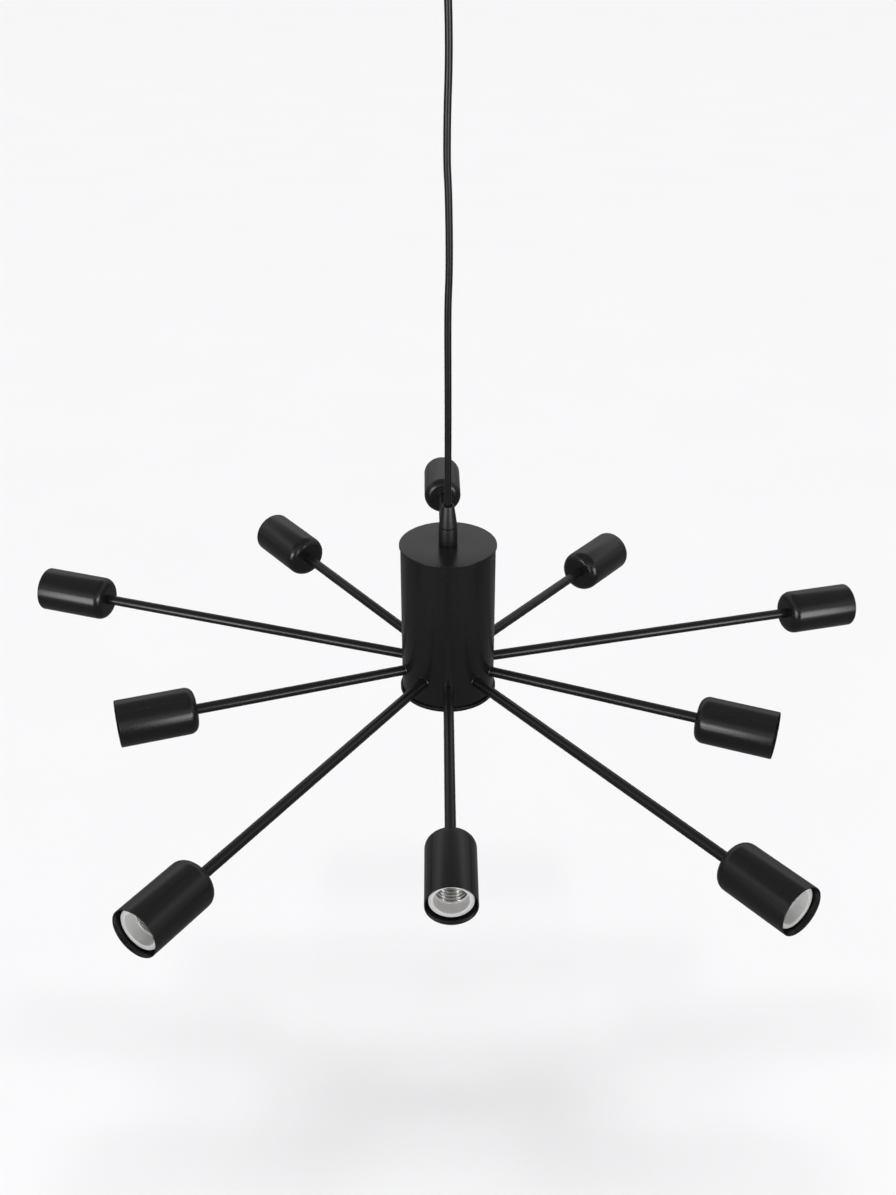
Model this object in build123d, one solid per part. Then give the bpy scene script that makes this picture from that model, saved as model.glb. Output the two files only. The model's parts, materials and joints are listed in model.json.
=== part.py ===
from build123d import *
from math import cos, pi, radians, sin, sqrt, tan
import os

# A sputnik chandelier: ten straight arms stand out of the foot of a cylindrical hub, long
# and short in turn, each with a bare lampholder cup. The hub hangs on one taut cable from a
# ceiling rose. Millimetres, +Z up. The origin is on the ceiling, at the middle of the fixing
# bracket, and the front arm points to -Y.

# ---- the whole light ----
ARM_COUNT = 10
DROP = 695.0                # ceiling down to the plane of the arms
LONG_REACH = 456.0          # hub axis to a long arm's cup mouth
SHORT_REACH = 329.0         # hub axis to a short arm's cup mouth
# How far each hand-set arm stands off its even place, from the front arm round to the right
ARM_TURN = (0.5, 1.5, -3.5, -0.5, 0.5, 1.0, 2.0, 0.5, 1.5, 4.0)      # degrees, seen from above
ARM_LIFT = (-5.0, -0.5, -1.0, -1.5, -2.5, 0.0, 2.5, 1.0, 0.0, -0.5)  # degrees above level

# ---- hub ----
HUB_DIAMETER = 92.0
HUB_HEIGHT = 163.0          # underside of the bottom cap to the top of the lid
HUB_WALL = 1.2
ARM_HEIGHT = 29.0           # plane of the arms above the underside
LID_THICKNESS = 2.0
LID_OVERHANG = 1.2
LID_EDGE_RADIUS = 0.6
LID_RING_HEIGHT = 6.0
LID_RING_WALL = 1.5
ARM_LIP_WIDTH = 1.2         # lip pressed up round each arm's hole
ARM_LIP_HEIGHT = 0.6
CAP_THICKNESS = 1.5
CAP_SKIRT_HEIGHT = 4.0
CAP_CLEARANCE = 0.4         # tube to the inside of the cap's skirt
FIT_CLEARANCE = 0.2         # fixed pieces that slip into one another

# ---- bridge that the hub hangs by ----
BRIDGE_DEPTH = 20.0         # top of the bridge below the lid
BRIDGE_WIDTH = 20.0
BRIDGE_THICKNESS = 2.5
BRIDGE_TAB_HEIGHT = 14.0

# ---- arms ----
ARM_DIAMETER = 10.0
ARM_WALL = 1.0
ARM_INNER_END = 33.0        # inner end of an arm from the hub axis
THREAD_CLEARANCE = 0.1      # nut or hole around a threaded end
NUT_FLATS = 14.0
NUT_THICKNESS = 4.0
NUT_SEAT_ROOM = 0.8         # room for a lifted arm's nut to lie askew on the tube

# ---- lampholder ----
CUP_DIAMETER = 45.0
CUP_LENGTH = 74.0
CUP_WALL = 1.0
CUP_BACK = 1.2
CUP_SHOULDER = 9.0          # rounding of the closed end
BODY_DIAMETER = 38.3        # insulating body
BODY_SET_BACK = 5.5         # front of the body behind the cup's mouth
BODY_HEAD_LENGTH = 34.0
BODY_WAIST_DIAMETER = 31.0
BODY_STEM_DIAMETER = 16.0
STEM_NUT_GAP = 3.8          # end of the stem to the nut on the cup's back
SKIRT_BORE = 30.0
SKIRT_DEPTH = 11.5          # front of the body to the mouth of the screw shell
SHELL_BORE = 27.0           # standard screw cap, 27 mm
SHELL_WALL = 0.5
SHELL_LENGTH = 23.0
SHELL_LIP = 3.0             # width of the flange that turns in at the shell's foot
CHAMBER_BORE = 25.0
CHAMBER_DEPTH = 6.5
FLOOR_THICKNESS = 5.0
STEM_ENGAGEMENT = 9.0       # arm inside the body's stem

# ---- sprung centre contact, a leaf riveted at one end ----
LEAF_WIDTH = 5.0
LEAF_THICKNESS = 0.4
LEAF_HEIGHT = 3.1           # back of the leaf above the chamber floor
LEAF_WALL_GAP = 1.1         # leaf's outer corners to the chamber's wall
LEAF_OVERHANG = 3.4         # leaf beyond the edge of its post
LEAF_TIP = 2.6              # leaf past the socket's axis
POST_RADIUS = 1.8
POST_CLEARANCE = 0.2
PIP_RADIUS = 2.0
PIP_HEIGHT = 1.2

# ---- cord grips, one on the lid and one under the rose ----
GRIP_DIAMETER = 18.0
GRIP_HEIGHT = 18.3
GRIP_CONE_HEIGHT = 22.2
GRIP_CONE_TOP = 11.8
SPIGOT_DIAMETER = 13.0
SPIGOT_HEIGHT = 8.0
BUSH_BORE_CLEARANCE = 0.06  # cable in its rubber bush
BUSH_DIAMETER = 10.4
BUSH_LENGTH = 16.0
BUSH_TAPER = 1.0            # radius lost over the tapered end
BUSH_TAPER_LENGTH = 6.0
MOVING_CLEARANCE = 0.3      # between pieces that turn on one another
LIP_CLEARANCE = 0.4         # cable in the cone's mouth
NIPPLE_DIAMETER = 10.0
NIPPLE_BORE = 7.4
NIPPLE_ENGAGEMENT = 9.0     # nipple inside a grip

# ---- cable ----
CABLE_DIAMETER = 6.5
SWING_PIVOT_DEPTH = 3.0     # swing axis above the upper grip's mouth
SWING_GAP = 0.5             # half the gap that lets the hanging cable turn there
CABLE_END = 40.0            # stripped end of the jacket below the lid
TAIL_END = 8.0              # upper end of the cable above the rose's floor
# Gentle waves left in the taut cable: height above the arms, and offset to the side
CABLE_WAVES = ((372.0, 0.1), (412.0, 0.8), (462.0, 0.3), (508.0, -0.9), (546.0, -0.3), (584.0, 0.4))
BEND_SHARE = 0.45           # part of the shorter run beside a corner that its bend takes up

# ---- ceiling rose ----
ROSE_DIAMETER = 120.0
ROSE_HEIGHT = 28.0
ROSE_WALL = 1.2
ROSE_EDGE_RADIUS = 4.0
ROSE_CEILING_GAP = 0.5
BRACKET_END_GAP = 1.8       # bracket's bent ends to the inside of the rose
BRACKET_WIDTH = 24.0
BRACKET_THICKNESS = 2.5
BRACKET_TAB_HEIGHT = 16.0
CEILING_SCREW_SPACING = 70.0
CEILING_SCREW_HOLE = 5.0
ROSE_SCREW_DIAMETER = 4.0
ROSE_SCREW_LENGTH = 9.0
ROSE_SCREW_HEAD = 8.0
ROSE_SCREW_HEAD_HEIGHT = 2.5
ROSE_SCREW_EDGE_RADIUS = 1.0
ROSE_SCREW_DEPTH = 11.0     # screw axis below the ceiling

# ---- wiring ----
BLOCK_LENGTH = 28.0
BLOCK_WIDTH = 18.0
BLOCK_HEIGHT = 14.0
BLOCK_NUT_GAP = 2.0         # terminal block to the corner of the nipple's nut
BLOCK_WAYS = 3
BLOCK_WAY_BORE = 3.4
LEAD_DIAMETER = 1.8
LEAD_SPREAD = 0.7           # middle of each core beside the middle plane, in core diameters
LEAD_BEND = 1.4             # bend radius of a core, in core diameters
LAMP_LEAD_DIAMETER = 3.4    # twin lead of one arm
LAMP_LEAD_TURN = 22.0       # where a lamp lead turns up, from the hub axis
LAMP_LEAD_RADIUS = 9.0
LAMP_LEAD_TOP = 52.0        # upper end above the arms
LAMP_LEAD_OUTER = 4.0       # outer end beyond the arm's, inside the stem
LEAD_GAP = 0.3              # lead above the wall of the arm or way that it lies in
CORE_DROP = 7.0             # how far a core runs down from the cable's end
CORE_STAND_OFF = 3.5        # core's upright run to the face of the block
CORE_ENGAGEMENT = 6.0       # core inside the block's way

# ---- heights and radii that follow ----
HUB_RADIUS = HUB_DIAMETER / 2
TUBE_INNER = HUB_RADIUS - HUB_WALL
ARM_Z = -DROP
UNDERSIDE_Z = ARM_Z - ARM_HEIGHT
LID_TOP_Z = UNDERSIDE_Z + HUB_HEIGHT
LID_UNDER_Z = LID_TOP_Z - LID_THICKNESS
BRIDGE_TOP_Z = LID_UNDER_Z - BRIDGE_DEPTH
BRIDGE_UNDER_Z = BRIDGE_TOP_Z - BRIDGE_THICKNESS
ROSE_FLOOR_Z = -ROSE_HEIGHT + ROSE_WALL
BRACKET_LENGTH = ROSE_DIAMETER - 2 * (ROSE_WALL + BRACKET_END_GAP)
GRIP_LENGTH = GRIP_HEIGHT + MOVING_CLEARANCE + GRIP_CONE_HEIGHT
PIVOT_Z = -ROSE_HEIGHT - GRIP_LENGTH + SWING_PIVOT_DEPTH
BLOCK_FACE = NUT_FLATS / sqrt(3) + BLOCK_NUT_GAP
CABLE_RADIUS = CABLE_DIAMETER / 2
ARM_RADIUS = ARM_DIAMETER / 2
THREAD_HOLE = ARM_RADIUS + THREAD_CLEARANCE

# Depths behind a cup's mouth
SHELL_MOUTH = BODY_SET_BACK + SKIRT_DEPTH
SHELL_FOOT = SHELL_MOUTH + SHELL_LENGTH
CHAMBER_TOP = SHELL_FOOT + SHELL_WALL
CHAMBER_FLOOR = CHAMBER_TOP + CHAMBER_DEPTH
BODY_BACK = CHAMBER_FLOOR + FLOOR_THICKNESS
STEM_END = CUP_LENGTH - CUP_BACK - NUT_THICKNESS - STEM_NUT_GAP
ARM_OUTER_END = STEM_END - STEM_ENGAGEMENT

# Edge of the contact's post from the socket's axis, so that the leaf's corners clear the wall
LEAF_REACH = sqrt((CHAMBER_BORE / 2 - LEAF_WALL_GAP) ** 2 - (LEAF_WIDTH / 2) ** 2)
LEAF_PIVOT = LEAF_REACH - LEAF_OVERHANG


def turned(*profile):
    """A solid of revolution about Z from (radius, height) corners."""
    wire = Polyline(*[(radius, 0, height) for radius, height in profile], close=True)
    return revolve(make_face(wire), Axis.Z, 360)


def rod(radius, low, high):
    """A round bar about Z."""
    return Pos(0, 0, (low + high) / 2) * Cylinder(radius, high - low)


def ring(outer, inner, low, high):
    """A round sleeve about Z."""
    return rod(outer, low, high) - rod(inner, low - 1, high + 1)


def hex_nut(hole, low, flats=NUT_FLATS):
    """A six-sided nut about Z with its lower face at low."""
    blank = extrude(RegularPolygon(flats / 2, 6, major_radius=False), NUT_THICKNESS)
    return Pos(0, 0, low) * blank - rod(hole, low - 1, low + NUT_THICKNESS + 1)


def reach(index):
    """Hub axis to the cup's mouth: the front arm is short, the next long, and so on."""
    return LONG_REACH if index % 2 else SHORT_REACH


def arm_place(index):
    """The frame of one arm: Z out along it from the hub axis, Y up, X to the next arm."""
    turn = radians(360 / ARM_COUNT * index - 90 + ARM_TURN[index])
    lift = radians(ARM_LIFT[index])
    along = (cos(turn) * cos(lift), sin(turn) * cos(lift), sin(lift))
    return Plane(origin=(0, 0, ARM_Z), x_dir=(-sin(turn), cos(turn), 0), z_dir=along).location


# ---------------------------------------------------------------- arms and lampholders
def arm_tube(mouth):
    return ring(ARM_RADIUS, ARM_RADIUS - ARM_WALL, ARM_INNER_END, mouth - ARM_OUTER_END)


def lampholder_cup(mouth):
    """Drawn cup: open at the mouth, rounded shoulder, flat back with the arm's hole."""
    radius = CUP_DIAMETER / 2
    back = mouth - CUP_LENGTH
    outside = rod(radius, back, mouth)
    outside = fillet(outside.edges().filter_by(GeomType.CIRCLE).sort_by(Axis.Z)[0], CUP_SHOULDER)
    inside = rod(radius - CUP_WALL, back + CUP_BACK, mouth + 1)
    inner_edge = inside.edges().filter_by(GeomType.CIRCLE).sort_by(Axis.Z)[0]
    inside = fillet(inner_edge, CUP_SHOULDER - CUP_WALL)
    return outside - inside - rod(THREAD_HOLE, back - 1, back + CUP_BACK + 1)


def socket_body(mouth):
    """Insulating body: skirt in front, seat for the screw shell, contact chamber and stem."""
    head, waist, stem = BODY_DIAMETER / 2, BODY_WAIST_DIAMETER / 2, BODY_STEM_DIAMETER / 2
    shell_seat = SHELL_BORE / 2 + SHELL_WALL + THREAD_CLEARANCE
    chamber = CHAMBER_BORE / 2
    head_back = mouth - BODY_SET_BACK - BODY_HEAD_LENGTH
    body = turned(
        (head, mouth - BODY_SET_BACK),
        (head, head_back),
        (waist, head_back - (head - waist)),
        (waist, mouth - BODY_BACK),
        (stem, mouth - BODY_BACK),
        (stem, mouth - STEM_END),
        (THREAD_HOLE, mouth - STEM_END),
        (THREAD_HOLE, mouth - ARM_OUTER_END),
        (ARM_RADIUS - ARM_WALL, mouth - ARM_OUTER_END),
        (ARM_RADIUS - ARM_WALL, mouth - CHAMBER_FLOOR),
        (chamber, mouth - CHAMBER_FLOOR),
        (chamber, mouth - CHAMBER_TOP),
        (shell_seat, mouth - CHAMBER_TOP),
        (shell_seat, mouth - SHELL_MOUTH),
        (SKIRT_BORE / 2, mouth - SHELL_MOUTH),
        (SKIRT_BORE / 2, mouth - BODY_SET_BACK),
    )
    post_top = mouth - CHAMBER_FLOOR + LEAF_HEIGHT - POST_CLEARANCE
    post = Pos(0, LEAF_PIVOT + POST_RADIUS, 0) * rod(POST_RADIUS, mouth - CHAMBER_FLOOR - 1, post_top)
    return body + post


def socket_shell(mouth):
    """Screw shell: a thin sleeve that seats on the body by its turned-in foot."""
    bore = SHELL_BORE / 2
    foot = mouth - CHAMBER_TOP
    return turned(
        (bore + SHELL_WALL, mouth - SHELL_MOUTH),
        (bore + SHELL_WALL, foot),
        (bore - SHELL_LIP, foot),
        (bore - SHELL_LIP, foot + SHELL_WALL),
        (bore, foot + SHELL_WALL),
        (bore, mouth - SHELL_MOUTH),
    )


def centre_contact(mouth):
    """Brass leaf with a round pip on the axis: pressed back by a bulb, it bends at its post."""
    back = mouth - CHAMBER_FLOOR + LEAF_HEIGHT
    length = LEAF_PIVOT + LEAF_OVERHANG + LEAF_TIP
    middle = (LEAF_PIVOT + LEAF_OVERHANG - LEAF_TIP) / 2
    leaf = Pos(0, middle, back + LEAF_THICKNESS / 2) * Box(LEAF_WIDTH, length, LEAF_THICKNESS)
    return leaf + rod(PIP_RADIUS, back, back + LEAF_THICKNESS + PIP_HEIGHT)


def arm_lock_nut():
    """Nut inside the hub, as near the curved wall as its corners allow."""
    corner = NUT_FLATS / sqrt(3)
    seat = sqrt(TUBE_INNER**2 - corner**2) - NUT_SEAT_ROOM
    return hex_nut(THREAD_HOLE, seat - NUT_THICKNESS)


def cup_lock_nut(mouth):
    """Nut that holds the cup's back against the threaded end of the arm."""
    return hex_nut(THREAD_HOLE, mouth - CUP_LENGTH + CUP_BACK)


def lamp_lead(index):
    """Twin lead of one lampholder: in along the foot of the arm's bore, then up in the hub."""
    place = arm_place(index)
    way = place.z_axis.direction
    drop = ARM_RADIUS - ARM_WALL - LAMP_LEAD_DIAMETER / 2 - LEAD_GAP
    centre = Vector(0, 0, ARM_Z) - place.y_axis.direction * drop
    start = centre + way * (reach(index) - ARM_OUTER_END + LAMP_LEAD_OUTER)
    corner = centre + way * LAMP_LEAD_TURN
    top = Vector(corner.X, corner.Y, ARM_Z + LAMP_LEAD_TOP)
    path = FilletPolyline(start, corner, top, radius=LAMP_LEAD_RADIUS)
    return sweep(Plane(origin=start, z_dir=-way) * Circle(LAMP_LEAD_DIAMETER / 2), path)


# ---------------------------------------------------------------- hub
def hub_tube():
    """Rolled tube with a hole for each arm, and a low lip pressed up round each hole."""
    tube = ring(HUB_RADIUS, TUBE_INNER, UNDERSIDE_Z + CAP_THICKNESS, LID_UNDER_Z)
    lip_zone = ring(HUB_RADIUS + ARM_LIP_HEIGHT, HUB_RADIUS - HUB_WALL / 2, UNDERSIDE_Z, LID_UNDER_Z)
    for index in range(ARM_COUNT):
        lip = arm_place(index) * rod(THREAD_HOLE + ARM_LIP_WIDTH, ARM_INNER_END, HUB_DIAMETER)
        tube += lip & lip_zone
    for index in range(ARM_COUNT):
        tube -= arm_place(index) * rod(THREAD_HOLE, ARM_INNER_END, HUB_DIAMETER)
    return tube


def bottom_cap():
    """Pressed cap whose skirt goes round the foot of the tube."""
    inner = HUB_RADIUS + CAP_CLEARANCE
    outer = inner + CAP_THICKNESS
    cap = rod(outer, UNDERSIDE_Z, UNDERSIDE_Z + CAP_SKIRT_HEIGHT)
    cap = fillet(cap.edges().filter_by(GeomType.CIRCLE).sort_by(Axis.Z)[0], LID_EDGE_RADIUS)
    return cap - rod(inner, UNDERSIDE_Z + CAP_THICKNESS, UNDERSIDE_Z + CAP_SKIRT_HEIGHT + 1)


def top_lid():
    """Flat lid that overhangs the tube a little, with a ring that centres it inside."""
    disc = rod(HUB_RADIUS + LID_OVERHANG, LID_UNDER_Z, LID_TOP_Z)
    disc = fillet(disc.edges().filter_by(GeomType.CIRCLE).sort_by(Axis.Z)[-1], LID_EDGE_RADIUS)
    outer = TUBE_INNER - FIT_CLEARANCE
    locating = ring(outer, outer - LID_RING_WALL, LID_UNDER_Z - LID_RING_HEIGHT, LID_UNDER_Z)
    return disc + locating - rod(NIPPLE_DIAMETER / 2 + THREAD_CLEARANCE, LID_UNDER_Z - 1, LID_TOP_Z + 1)


def lid_bridge():
    """Strap welded across the tube: its tabs follow the wall, the nipple passes its middle."""
    outer = TUBE_INNER - FIT_CLEARANCE
    strap = rod(outer, BRIDGE_UNDER_Z, BRIDGE_TOP_Z)
    tabs = ring(outer, outer - BRIDGE_THICKNESS, BRIDGE_TOP_Z - BRIDGE_TAB_HEIGHT, BRIDGE_TOP_Z)
    width = Pos(0, 0, BRIDGE_TOP_Z) * Box(3 * outer, BRIDGE_WIDTH, 4 * BRIDGE_TAB_HEIGHT)
    hole = rod(NIPPLE_DIAMETER / 2 + THREAD_CLEARANCE, BRIDGE_UNDER_Z - 1, BRIDGE_TOP_Z + 1)
    return (strap + tabs) & width - hole


def nipple(low, high):
    """Hollow threaded tube that joins a cord grip to what carries it."""
    return ring(NIPPLE_DIAMETER / 2, NIPPLE_BORE / 2, low, high)


def nipple_nuts():
    """One nut under the lid and one under the bridge."""
    hole = NIPPLE_DIAMETER / 2 + THREAD_CLEARANCE
    return [hex_nut(hole, LID_UNDER_Z - NUT_THICKNESS), hex_nut(hole, BRIDGE_UNDER_Z - NUT_THICKNESS)]


def way_offset(way):
    """Middle of one way of a terminal block, from the middle of its row."""
    return (way - (BLOCK_WAYS - 1) / 2) * BLOCK_LENGTH / BLOCK_WAYS


def terminal_block(top):
    """Connector block that hangs from a strap beside the nut, its row of ways across it."""
    middle = top - BLOCK_HEIGHT / 2
    place = Pos(BLOCK_FACE + BLOCK_WIDTH / 2, 0, middle)
    block = place * Box(BLOCK_WIDTH, BLOCK_LENGTH, BLOCK_HEIGHT)
    for way in range(BLOCK_WAYS):
        bore = Cylinder(BLOCK_WAY_BORE / 2, BLOCK_WIDTH + 2)
        block -= place * Pos(0, way_offset(way), 0) * Rot(0, 90, 0) * bore
    return block


def supply_leads():
    """Two cores from the cable's stripped end, round the nut and into the block's outer ways."""
    start_z = LID_UNDER_Z - CABLE_END - MOVING_CLEARANCE
    low_z = start_z - CORE_DROP
    way_foot = BRIDGE_UNDER_Z - (BLOCK_HEIGHT + BLOCK_WAY_BORE) / 2
    core_z = way_foot + LEAD_GAP + LEAD_DIAMETER / 2
    leads = []
    for side, way in ((-1, 0), (1, BLOCK_WAYS - 1)):
        across = side * LEAD_DIAMETER * LEAD_SPREAD
        points = [
            (0, across, start_z),
            (0, across, low_z),
            (BLOCK_FACE - CORE_STAND_OFF, way_offset(way), low_z),
            (BLOCK_FACE - CORE_STAND_OFF, way_offset(way), core_z),
            (BLOCK_FACE + CORE_ENGAGEMENT, way_offset(way), core_z),
        ]
        path = FilletPolyline(*points, radius=LEAD_DIAMETER * LEAD_BEND)
        leads.append(sweep(Pos(*points[0]) * Circle(LEAD_DIAMETER / 2), path))
    return leads


# ---------------------------------------------------------------- cord grips
def grip_base():
    """Collar of a cord grip, standing on Z 0, with the spigot that its cone screws on."""
    spigot_top = GRIP_HEIGHT + SPIGOT_HEIGHT
    bush_bore = BUSH_DIAMETER / 2 + THREAD_CLEARANCE
    base = rod(GRIP_DIAMETER / 2, 0, GRIP_HEIGHT) + rod(SPIGOT_DIAMETER / 2, 0, spigot_top)
    base -= rod(NIPPLE_DIAMETER / 2 + THREAD_CLEARANCE, -1, NIPPLE_ENGAGEMENT)
    base -= rod(NIPPLE_BORE / 2, 0, spigot_top + 1)
    return base - rod(bush_bore, spigot_top + BUSH_TAPER_LENGTH - BUSH_LENGTH, spigot_top + 1)


def grip_bush():
    """Rubber bush that holds the cable, tapered where the cone presses on it."""
    top = GRIP_HEIGHT + SPIGOT_HEIGHT + BUSH_TAPER_LENGTH
    outer = BUSH_DIAMETER / 2
    bore = CABLE_RADIUS + BUSH_BORE_CLEARANCE
    return turned(
        (bore, top - BUSH_LENGTH),
        (outer, top - BUSH_LENGTH),
        (outer, top - BUSH_TAPER_LENGTH),
        (outer - BUSH_TAPER, top),
        (bore, top),
    )


def grip_cone():
    """Cap of a cord grip: a cone, hollow inside, whose mouth flares where the cable leaves."""
    foot = GRIP_HEIGHT + MOVING_CLEARANCE
    top = foot + GRIP_CONE_HEIGHT
    thread_top = GRIP_HEIGHT + SPIGOT_HEIGHT + MOVING_CLEARANCE
    bush_top = GRIP_HEIGHT + SPIGOT_HEIGHT + BUSH_TAPER_LENGTH + MOVING_CLEARANCE
    bush_outer = BUSH_DIAMETER / 2 + MOVING_CLEARANCE
    thread = SPIGOT_DIAMETER / 2 + THREAD_CLEARANCE
    lip = CABLE_RADIUS + LIP_CLEARANCE
    return turned(
        (thread, foot),
        (GRIP_DIAMETER / 2, foot),
        (GRIP_CONE_TOP / 2, top),
        (lip + 2 * LIP_CLEARANCE, top),
        (lip, top - SWING_PIVOT_DEPTH),
        (lip, bush_top),
        (bush_outer - BUSH_TAPER, bush_top),
        (bush_outer, thread_top),
        (thread, thread_top),
    )


# ---------------------------------------------------------------- cable
def cable_route():
    """Corners of the hanging cable, from its lower end inside the hub up to the rose's grip."""
    straight = [(0, LID_UNDER_Z - CABLE_END), (0, LID_TOP_Z + GRIP_LENGTH + 2 * CABLE_DIAMETER)]
    waves = [(offset, ARM_Z + height) for height, offset in CABLE_WAVES]
    grip_mouth = PIVOT_Z - SWING_PIVOT_DEPTH - CABLE_DIAMETER
    upper = [(0, grip_mouth), (0, PIVOT_Z - SWING_GAP)]
    return [Vector(offset, 0, height) for offset, height in straight + waves + upper]


def corner_radii(points):
    """The radius of the bend at each corner, from the shorter run beside it and the turn."""
    radii = []
    for before, here, after in zip(points, points[1:], points[2:]):
        turn = (here - before).get_angle(after - here)
        shorter = min((here - before).length, (after - here).length)
        radii.append(BEND_SHARE * shorter / tan(radians(turn / 2)))
    return radii


def pendant_cable():
    points = cable_route()
    radii = corner_radii(points)
    path = FilletPolyline(*points, radius=radii)
    cable = sweep(Pos(*points[0]) * Circle(CABLE_RADIUS), path)
    print("cable radii", [round(radius) for radius in radii])
    print("cable length", round(path.length, 1))
    print("cable volume", round(cable.volume), "expected", round(path.length * pi * CABLE_RADIUS**2))
    return cable


def cable_tail():
    """The same cable above the swing axis: through the grip and into the rose."""
    return rod(CABLE_RADIUS, PIVOT_Z + SWING_GAP, ROSE_FLOOR_Z + TAIL_END)


# ---------------------------------------------------------------- ceiling rose
def ceiling_bracket():
    """Flat strap against the ceiling, its ends bent down to take the rose's screws."""
    strap = Pos(0, 0, -BRACKET_THICKNESS / 2) * Box(BRACKET_LENGTH, BRACKET_WIDTH, BRACKET_THICKNESS)
    for side in (-1, 1):
        end = side * (BRACKET_LENGTH - BRACKET_THICKNESS) / 2
        strap += Pos(end, 0, -BRACKET_TAB_HEIGHT / 2) * Box(
            BRACKET_THICKNESS, BRACKET_WIDTH, BRACKET_TAB_HEIGHT
        )
        hole = Cylinder(ROSE_SCREW_DIAMETER / 2 + THREAD_CLEARANCE, 3 * BRACKET_THICKNESS)
        strap -= Pos(end, 0, -ROSE_SCREW_DEPTH) * Rot(0, 90, 0) * hole
        screw = Cylinder(CEILING_SCREW_HOLE / 2, 3 * BRACKET_THICKNESS)
        strap -= Pos(side * CEILING_SCREW_SPACING / 2, 0, 0) * screw
    return strap


def ceiling_rose():
    """Round cup over the bracket, open at the ceiling, with a hole for the cord grip."""
    radius = ROSE_DIAMETER / 2
    outside = rod(radius, -ROSE_HEIGHT, -ROSE_CEILING_GAP)
    outside = fillet(outside.edges().filter_by(GeomType.CIRCLE).sort_by(Axis.Z)[0], ROSE_EDGE_RADIUS)
    inside = rod(radius - ROSE_WALL, ROSE_FLOOR_Z, 1)
    inner_edge = inside.edges().filter_by(GeomType.CIRCLE).sort_by(Axis.Z)[0]
    inside = fillet(inner_edge, ROSE_EDGE_RADIUS - ROSE_WALL)
    rose = outside - inside - rod(NIPPLE_DIAMETER / 2 + THREAD_CLEARANCE, -ROSE_HEIGHT - 1, ROSE_FLOOR_Z + 1)
    hole = Cylinder(ROSE_SCREW_DIAMETER / 2 + FIT_CLEARANCE, ROSE_DIAMETER + 2)
    return rose - Pos(0, 0, -ROSE_SCREW_DEPTH) * Rot(0, 90, 0) * hole


def rose_screws():
    """Two screws through the rose's side into the bracket's tabs."""
    screws = []
    head_face = ROSE_DIAMETER / 2 + THREAD_CLEARANCE
    for side in (-90, 90):
        head = rod(ROSE_SCREW_HEAD / 2, head_face, head_face + ROSE_SCREW_HEAD_HEIGHT)
        head = fillet(head.edges().filter_by(GeomType.CIRCLE).sort_by(Axis.Z)[-1], ROSE_SCREW_EDGE_RADIUS)
        shank = rod(ROSE_SCREW_DIAMETER / 2, head_face - ROSE_SCREW_LENGTH, head_face)
        screws.append(Pos(0, 0, -ROSE_SCREW_DEPTH) * Rot(0, side, 0) * (head + shank))
    return screws


def save(name, shapes):
    """Writes one node: one solid, or a group of separate solids."""
    group = shapes if isinstance(shapes, list) else [shapes]
    solids = [solid for shape in group for solid in shape.solids()]
    node = solids[0] if len(solids) == 1 else Compound(children=solids)
    node.label = name
    export_step(node, f"parts/{name}.step")


os.makedirs("parts", exist_ok=True)
places = [arm_place(index) for index in range(ARM_COUNT)]
mouths = [reach(index) for index in range(ARM_COUNT)]
arms = list(zip(places, mouths))

for number, (place, mouth) in enumerate(arms, 1):
    save(f"arm_tube_{number:02d}", place * arm_tube(mouth))
    save(f"lampholder_cup_{number:02d}", place * lampholder_cup(mouth))
    save(f"centre_contact_{number:02d}", place * centre_contact(mouth))
save("socket_bodies", [place * socket_body(mouth) for place, mouth in arms])
save("socket_shells", [place * socket_shell(mouth) for place, mouth in arms])
save("cup_lock_nuts", [place * cup_lock_nut(mouth) for place, mouth in arms])
save("arm_lock_nuts", [place * arm_lock_nut() for place in places])
save("lamp_leads", [lamp_lead(index) for index in range(ARM_COUNT)])

save("hub_tube", hub_tube())
save("bottom_cap", bottom_cap())
save("top_lid", top_lid())
save("lid_bridge", lid_bridge())
save("hub_nipple", nipple(BRIDGE_UNDER_Z - 2 * NUT_THICKNESS, LID_TOP_Z + NIPPLE_ENGAGEMENT))
save("hub_nipple_nuts", nipple_nuts())
save("hub_terminal_block", terminal_block(BRIDGE_UNDER_Z))
save("supply_leads", supply_leads())

on_lid = Pos(0, 0, LID_TOP_Z)
under_rose = Pos(0, 0, -ROSE_HEIGHT) * Rot(180, 0, 0)
for name, seat in (("hub_grip", on_lid), ("rose_grip", under_rose)):
    save(f"{name}_base", seat * grip_base())
    save(f"{name}_bush", seat * grip_bush())
    save(f"{name}_cone", seat * grip_cone())

save("pendant_cable", pendant_cable())
save("cable_tail", cable_tail())

save("ceiling_bracket", ceiling_bracket())
save("ceiling_rose", ceiling_rose())
save("rose_screws", rose_screws())
save("rose_nipple", nipple(-ROSE_HEIGHT - NIPPLE_ENGAGEMENT, ROSE_FLOOR_Z + NUT_THICKNESS + 1))
save("rose_nut", hex_nut(NIPPLE_DIAMETER / 2 + THREAD_CLEARANCE, ROSE_FLOOR_Z))
save("rose_terminal_block", terminal_block(-BRACKET_THICKNESS))
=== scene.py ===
import json
from math import cos, pi, radians, sin, tan

import bmesh
import bpy
from mathutils import Matrix, Vector


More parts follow.
